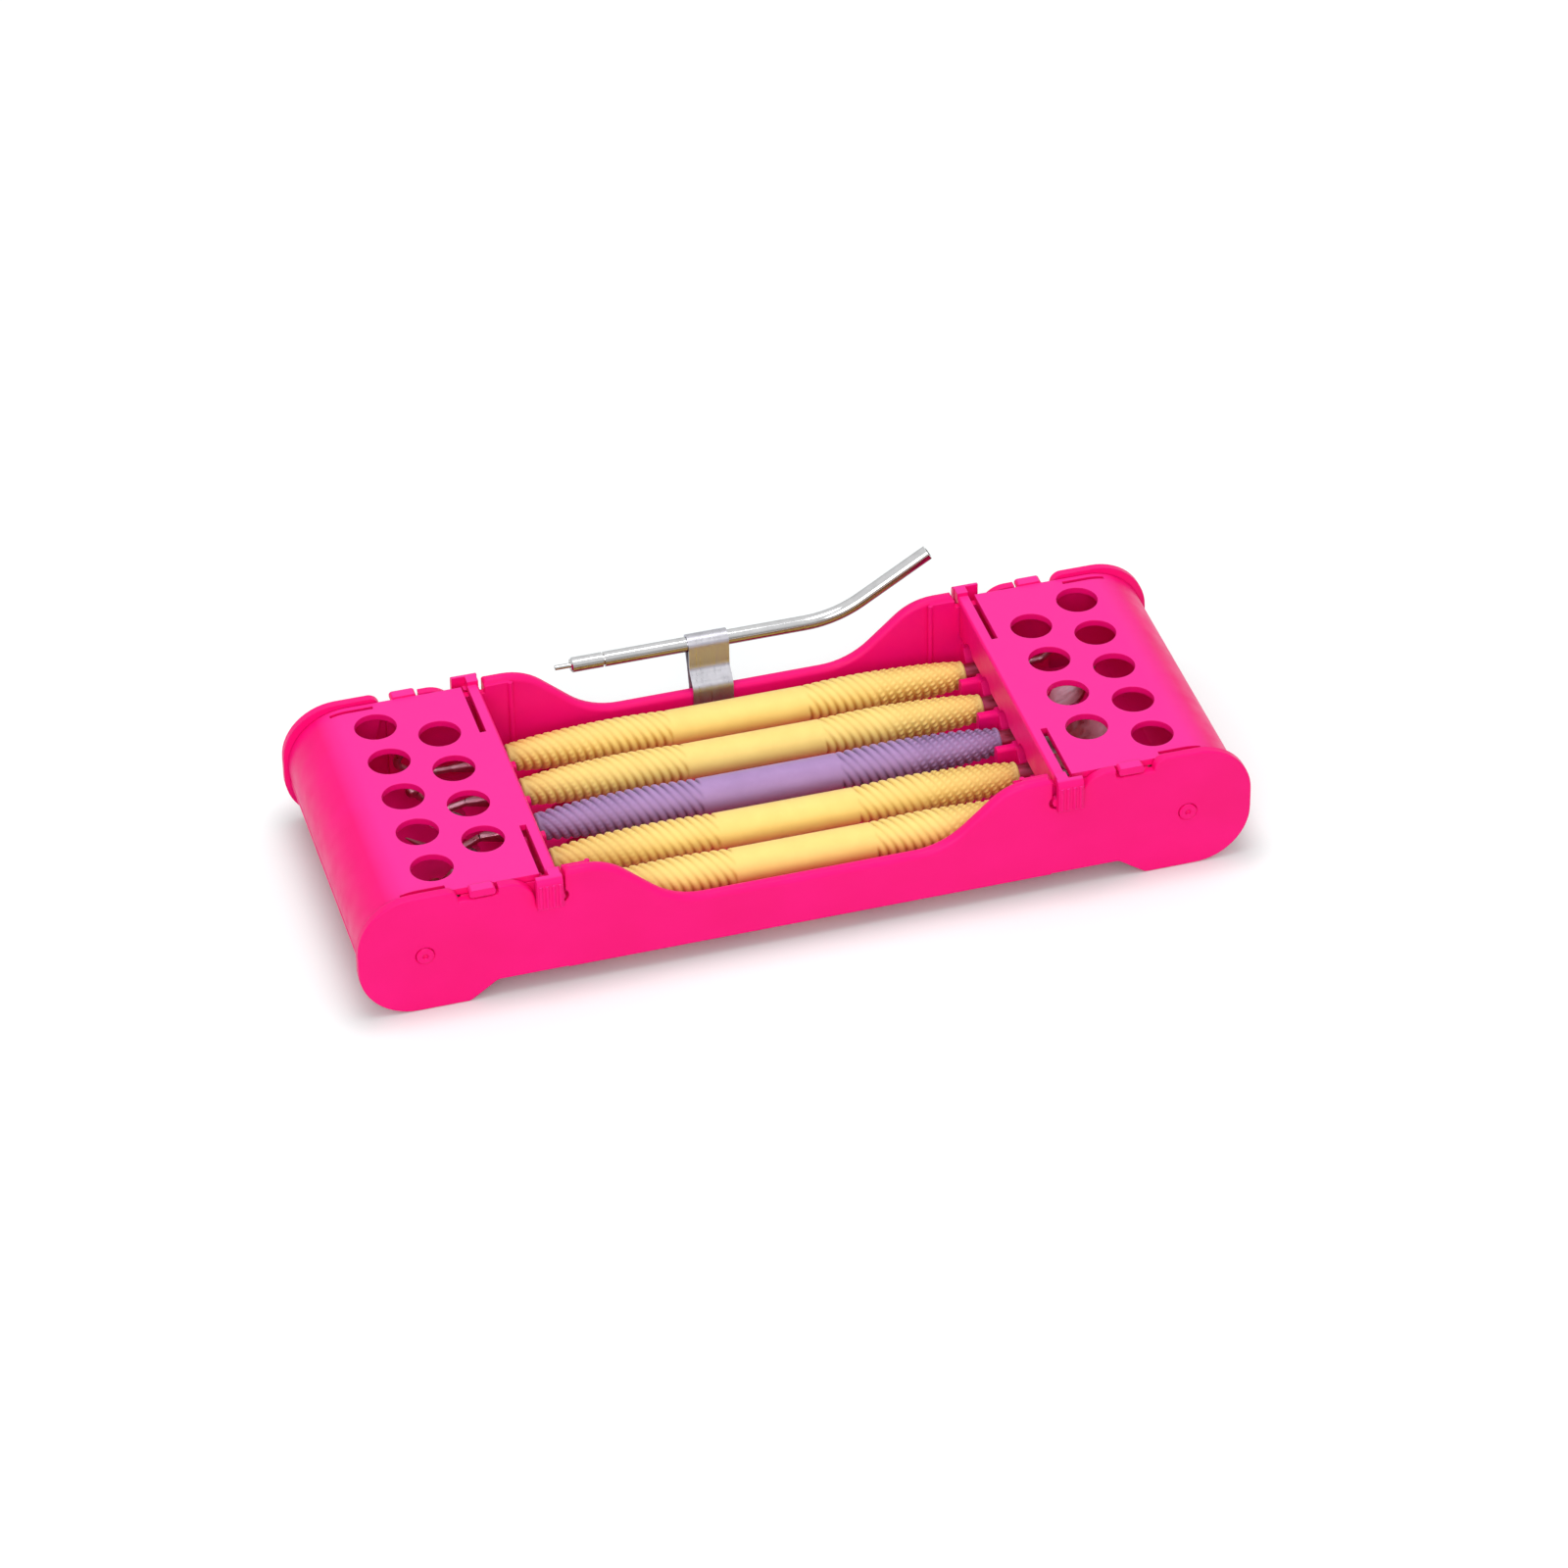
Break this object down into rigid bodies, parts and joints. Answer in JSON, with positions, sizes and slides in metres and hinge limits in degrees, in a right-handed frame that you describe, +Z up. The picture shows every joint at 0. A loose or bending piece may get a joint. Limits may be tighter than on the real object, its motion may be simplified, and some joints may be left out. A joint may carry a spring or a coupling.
{
  "type": "dental instrument cassette",
  "caption": "Open-waisted perforated sterilizing tray with hinged rolled end lids, gripped double-ended hand instruments and a clipped-on bent syringe tip.",
  "frame": {"origin": "bottom centre of the cassette: centre of the tray's footprint, on the surface that its feet stand on", "axes": "+X along the instruments, towards the end where the mouth mirror lies; +Y towards the wall that carries the clip; +Z up"},
  "size_m": [0.206, 0.0832, 0.0427],
  "materials": {
    "pink_polymer": "satin moulded resin",
    "yellow_grip": "matt silicone-like resin",
    "purple_grip": "matt silicone-like resin",
    "instrument_steel": "polished",
    "polished_steel": "polished",
    "clip_steel": "satin",
    "mirror_glass": "mirror"
  },
  "bodies": {
    "cassette": {"base_tray": "pink_polymer", "instrument_handle_1": "yellow_grip", "instrument_handle_2": "yellow_grip", "instrument_handle_3": "purple_grip", "instrument_handle_4": "yellow_grip", "instrument_handle_5": "yellow_grip", "left_tip_1": "instrument_steel", "left_tip_2": "instrument_steel", "left_tip_3": "instrument_steel", "left_tip_4": "instrument_steel", "left_tip_5": "instrument_steel", "right_tip_1": "instrument_steel", "right_tip_2": "instrument_steel", "right_tip_3": "instrument_steel", "right_tip_4": "instrument_steel", "right_tip_5": "instrument_steel", "mirror_glass": "mirror_glass"},
    "left_cover": {"left_lid": "pink_polymer"},
    "right_cover": {"right_lid": "pink_polymer"},
    "clip": {"tip_clip": "clip_steel"},
    "syringe_tip": {"syringe_tube": "polished_steel", "syringe_collar": "polished_steel", "syringe_nozzle": "polished_steel"}
  },
  "joints": [
    {"name": "left_lid_hinge", "type": "hinge", "parent": "cassette", "child": "left_cover", "pos_m": [-0.088, 0, 0.015], "axis": [0, 1, 0], "range_deg": [-100, 0]},
    {"name": "right_lid_hinge", "type": "hinge", "parent": "cassette", "child": "right_cover", "pos_m": [0.088, 0, 0.015], "axis": [0, 1, 0], "range_deg": [0, 100]},
    {"name": "clip_slide", "type": "slide", "parent": "cassette", "child": "clip", "axis": [1, 0, 0], "range_m": [-0.009, 0.0085]},
    {"name": "tip_slide", "type": "slide", "parent": "clip", "child": "syringe_tip", "axis": [1, 0, 0], "range_m": [-0.009, 0.008]}
  ]
}
